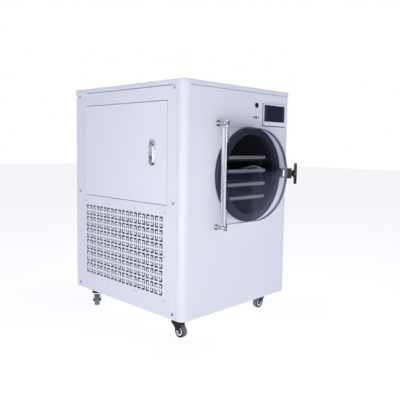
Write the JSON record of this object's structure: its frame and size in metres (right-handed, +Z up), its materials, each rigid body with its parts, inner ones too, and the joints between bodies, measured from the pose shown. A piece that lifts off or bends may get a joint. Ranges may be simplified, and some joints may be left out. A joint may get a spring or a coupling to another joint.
{
  "type": "freeze dryer",
  "caption": "Floor-standing cabinet freeze dryer on casters: round vacuum chamber with shelves and trays, thick clear hinged door with a swing clamp, side hatch and touch display.",
  "frame": {"origin": "middle of the footprint on the floor, under the casters", "axes": "+X to the right along the front, +Y to the rear, +Z up"},
  "size_m": [0.6667, 0.8474, 0.986],
  "materials": {
    "base_frame": "satin powder coat",
    "base_pan": "satin powder coat",
    "upright_frame": "satin powder coat",
    "front_panel": "fine textured powder coat",
    "left_panel": "fine textured powder coat",
    "right_panel": "fine textured powder coat",
    "rear_panel": "fine textured powder coat",
    "top_cover": "fine textured powder coat",
    "cabinet_screws": "bright zinc",
    "vent_filter": "open foam in a frame",
    "chamber_drum": "brushed stainless",
    "door_gasket": "smooth silicone rubber",
    "cold_coil": "copper tube",
    "insulation_jacket": "closed-cell foam",
    "drum_cradle": "satin powder coat",
    "shelf_rack": "brushed stainless",
    "heated_shelves": "anodised",
    "tray_1": "brushed stainless",
    "tray_2": "brushed stainless",
    "tray_3": "brushed stainless",
    "tray_4": "brushed stainless",
    "temp_probe": "drawn sheath",
    "compressor": "gloss black enamel",
    "refrigerant_lines": "copper tube",
    "condenser": "plain fins",
    "fan_shroud": "black enamel",
    "fan_motor": "black enamel",
    "fan_blade": "moulded",
    "vacuum_pipe": "brushed stainless",
    "drain_pipe": "brushed stainless",
    "power_inlet": "moulded",
    "control_box": "satin powder coat",
    "hmi_frame": "satin moulding",
    "hmi_glass": "dark glass, display off",
    "switch_bezel": "moulded",
    "rocker_switch": "moulded",
    "usb_socket": "moulded",
    "hinge_posts": "polished steel",
    "hinge_pins": "polished steel",
    "door_pane": "polished clear acrylic",
    "clamp_bracket": "polished steel",
    "swing_bolt": "polished steel",
    "thrust_collar": "moulded",
    "clamp_jaw": "moulded",
    "hand_knob": "moulded",
    "side_hatch": "fine textured powder coat",
    "hatch_mounts": "satin powder coat",
    "lock_base": "polished zinc casting",
    "lock_lever": "polished zinc casting",
    "lock_button": "moulded",
    "lock_barrel": "zinc plated",
    "caster_plates": "zinc plated",
    "caster_fork_fl": "black enamel",
    "caster_fork_fr": "black enamel",
    "caster_fork_rl": "black enamel",
    "caster_fork_rr": "black enamel",
    "caster_wheel_fl": "moulded tread and core",
    "caster_wheel_fr": "moulded tread and core",
    "caster_wheel_rl": "moulded tread and core",
    "caster_wheel_rr": "moulded tread and core"
  },
  "bodies": {
    "cabinet": {"base_frame": "base_frame", "base_pan": "base_pan", "upright_frame": "upright_frame", "front_panel": "front_panel", "left_panel": "left_panel", "right_panel": "right_panel", "rear_panel": "rear_panel", "top_cover": "top_cover", "cabinet_screws": "cabinet_screws", "vent_filter": "vent_filter", "chamber_drum": "chamber_drum", "door_gasket": "door_gasket", "cold_coil": "cold_coil", "insulation_jacket": "insulation_jacket", "drum_cradle": "drum_cradle", "shelf_rack": "shelf_rack", "heated_shelves": "heated_shelves", "tray_1": "tray_1", "tray_2": "tray_2", "tray_3": "tray_3", "tray_4": "tray_4", "temp_probe": "temp_probe", "compressor": "compressor", "refrigerant_lines": "refrigerant_lines", "condenser": "condenser", "fan_shroud": "fan_shroud", "fan_motor": "fan_motor", "vacuum_pipe": "vacuum_pipe", "drain_pipe": "drain_pipe", "power_inlet": "power_inlet", "control_box": "control_box", "hmi_frame": "hmi_frame", "hmi_glass": "hmi_glass", "switch_bezel": "switch_bezel", "usb_socket": "usb_socket", "hinge_posts": "hinge_posts", "hinge_pins": "hinge_pins", "clamp_bracket": "clamp_bracket", "hatch_mounts": "hatch_mounts", "caster_plates": "caster_plates"},
    "door": {"door_pane": "door_pane"},
    "clamp_bolt": {"swing_bolt": "swing_bolt"},
    "clamp_slide": {"thrust_collar": "thrust_collar"},
    "jaw": {"clamp_jaw": "clamp_jaw"},
    "knob": {"hand_knob": "hand_knob"},
    "rocker": {"rocker_switch": "rocker_switch"},
    "hatch": {"side_hatch": "side_hatch", "lock_base": "lock_base"},
    "lock": {"lock_barrel": "lock_barrel"},
    "lever": {"lock_lever": "lock_lever"},
    "button": {"lock_button": "lock_button"},
    "fan": {"fan_blade": "fan_blade"},
    "fork_fl": {"caster_fork_fl": "caster_fork_fl"},
    "wheel_fl": {"caster_wheel_fl": "caster_wheel_fl"},
    "fork_fr": {"caster_fork_fr": "caster_fork_fr"},
    "wheel_fr": {"caster_wheel_fr": "caster_wheel_fr"},
    "fork_rl": {"caster_fork_rl": "caster_fork_rl"},
    "wheel_rl": {"caster_wheel_rl": "caster_wheel_rl"},
    "fork_rr": {"caster_fork_rr": "caster_fork_rr"},
    "wheel_rr": {"caster_wheel_rr": "caster_wheel_rr"}
  },
  "joints": [
    {"name": "door_hinge", "type": "hinge", "parent": "cabinet", "child": "door", "pos_m": [-0.13317, -0.35331, 0.631], "axis": [0, 0, -1], "range_deg": [-4, 116]},
    {"name": "clamp_swing", "type": "hinge", "parent": "cabinet", "child": "clamp_bolt", "pos_m": [0.23883, -0.34231, 0.631], "axis": [0, 0, 1], "range_deg": [-34, 33]},
    {"name": "jaw_travel", "type": "slide", "parent": "clamp_bolt", "child": "clamp_slide", "axis": [0.5592, -0.829, 0], "range_m": [-0.00175, 0.00525]},
    {"name": "jaw_turn", "type": "hinge", "parent": "clamp_slide", "child": "jaw", "pos_m": [0.23883, -0.34231, 0.631], "axis": [0.5592, -0.829, 0], "range_deg": [0, 90]},
    {"name": "knob_spin", "type": "hinge", "parent": "clamp_slide", "child": "knob", "pos_m": [0.23883, -0.34231, 0.631], "axis": [0.5592, -0.829, 0], "range_deg": [-360, 1080]},
    {"name": "rocker_tilt", "type": "hinge", "parent": "cabinet", "child": "rocker", "pos_m": [0.09033, -0.31431, 0.916], "axis": [-1, 0, 0], "range_deg": [0, 12]},
    {"name": "hatch_hinge", "type": "hinge", "parent": "cabinet", "child": "hatch", "pos_m": [-0.32017, 0.32169, 0.715], "axis": [0, 0, -1], "range_deg": [0, 105]},
    {"name": "lock_turn", "type": "hinge", "parent": "hatch", "child": "lock", "pos_m": [-0.32417, -0.14031, 0.7525], "axis": [1, 0, 0], "range_deg": [0, 90]},
    {"name": "lever_pull", "type": "hinge", "parent": "hatch", "child": "lever", "pos_m": [-0.33017, -0.14031, 0.74], "axis": [0, 1, 0], "range_deg": [0, 60]},
    {"name": "lever_button", "type": "slide", "parent": "lever", "child": "button", "axis": [1, 0, 0], "range_m": [0, 0.002], "stiffness_N_per_m": 400},
    {"name": "fan_spin", "type": "hinge", "parent": "cabinet", "child": "fan", "pos_m": [-0.22318, 0.05369, 0.27], "axis": [1, 0, 0], "continuous": true},
    {"name": "swivel_fl", "type": "hinge", "parent": "cabinet", "child": "fork_fl", "pos_m": [-0.26417, -0.22731, 0.065], "axis": [0, 0, 1], "continuous": true},
    {"name": "roll_fl", "type": "hinge", "parent": "fork_fl", "child": "wheel_fl", "pos_m": [-0.26417, -0.24931, 0.025], "axis": [1, 0, 0], "continuous": true},
    {"name": "swivel_fr", "type": "hinge", "parent": "cabinet", "child": "fork_fr", "pos_m": [0.27082, -0.22731, 0.065], "axis": [0, 0, 1], "continuous": true},
    {"name": "roll_fr", "type": "hinge", "parent": "fork_fr", "child": "wheel_fr", "pos_m": [0.24882, -0.22731, 0.025], "axis": [0, -1, 0], "continuous": true},
    {"name": "swivel_rl", "type": "hinge", "parent": "cabinet", "child": "fork_rl", "pos_m": [-0.26417, 0.32269, 0.065], "axis": [0, 0, 1], "continuous": true},
    {"name": "roll_rl", "type": "hinge", "parent": "fork_rl", "child": "wheel_rl", "pos_m": [-0.27648, 0.30445, 0.025], "axis": [0.829, -0.5592, 0], "continuous": true},
    {"name": "swivel_rr", "type": "hinge", "parent": "cabinet", "child": "fork_rr", "pos_m": [0.27082, 0.32269, 0.065], "axis": [0, 0, 1], "continuous": true},
    {"name": "roll_rr", "type": "hinge", "parent": "fork_rr", "child": "wheel_rr", "pos_m": [0.27835, 0.30201, 0.025], "axis": [0.9397, 0.342, 0], "continuous": true}
  ],
  "couplings": [
    {"joint": "jaw_travel", "follows": "knob_spin", "m_per_rad": 0.000278}
  ]
}
